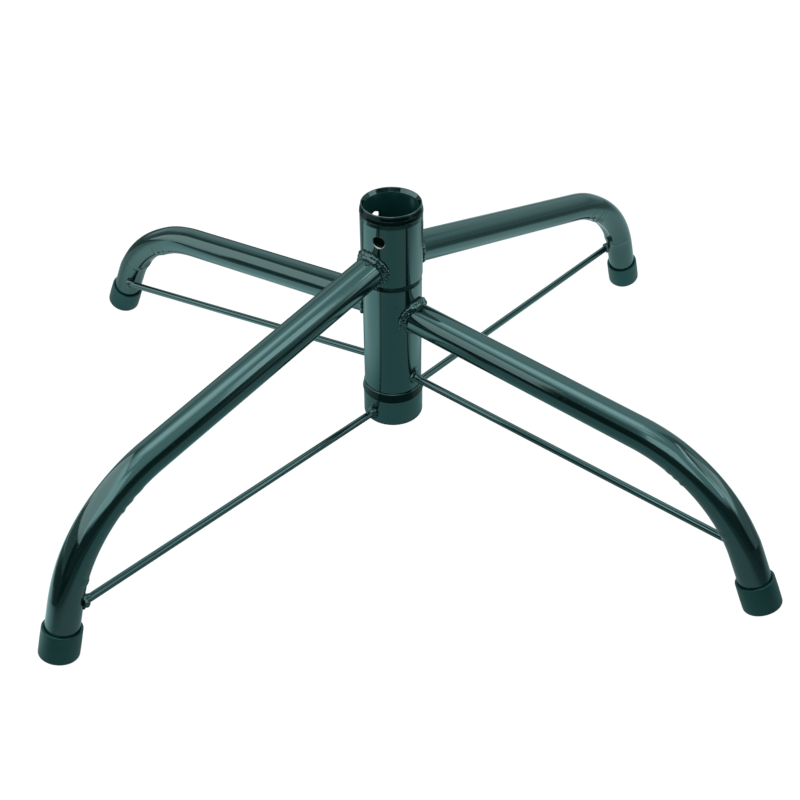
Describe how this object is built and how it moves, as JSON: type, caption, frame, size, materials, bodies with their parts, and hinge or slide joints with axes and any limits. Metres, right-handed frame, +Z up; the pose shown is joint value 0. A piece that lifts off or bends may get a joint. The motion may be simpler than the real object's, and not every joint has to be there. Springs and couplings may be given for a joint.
{
  "type": "rotating christmas tree stand",
  "caption": "Folding tubular floor stand: paired bent legs with rod braces swivel round a central socket column that clamps an upright pole.",
  "frame": {"origin": "on the floor under the axis of the column", "axes": "+Z up along the column; +X along the upper pair of legs, to the right one; the lower pair lies at 98 and 278 degrees from +X"},
  "size_m": [0.5528, 0.5464, 0.18],
  "materials": {
    "enamel": "gloss dark teal-green enamel",
    "cap_plastic": "satin dark green"
  },
  "bodies": {
    "upper_frame": {"socket_tube": "enamel", "upper_sleeve": "enamel", "thrust_ring": "enamel", "bottom_collar": "enamel", "pole_stop": "enamel", "upper_leg_left": "enamel", "upper_brace_left": "enamel", "upper_cap_left": "cap_plastic", "upper_leg_weld_left": "enamel", "upper_brace_hub_weld_left": "enamel", "upper_brace_foot_weld_left": "enamel", "upper_leg_right": "enamel", "upper_brace_right": "enamel", "upper_cap_right": "cap_plastic", "upper_leg_weld_right": "enamel", "upper_brace_hub_weld_right": "enamel", "upper_brace_foot_weld_right": "enamel"},
    "lower_frame": {"swivel_sleeve": "enamel", "lower_leg_front": "enamel", "lower_brace_front": "enamel", "lower_cap_front": "cap_plastic", "lower_leg_weld_front": "enamel", "lower_brace_hub_weld_front": "enamel", "lower_brace_foot_weld_front": "enamel", "lower_leg_back": "enamel", "lower_brace_back": "enamel", "lower_cap_back": "cap_plastic", "lower_leg_weld_back": "enamel", "lower_brace_hub_weld_back": "enamel", "lower_brace_foot_weld_back": "enamel"}
  },
  "joints": [
    {"name": "frame_swivel", "type": "hinge", "parent": "upper_frame", "child": "lower_frame", "pos_m": [0, 0, 0.09], "axis": [0, 0, 1], "range_deg": [-92, 76]}
  ]
}
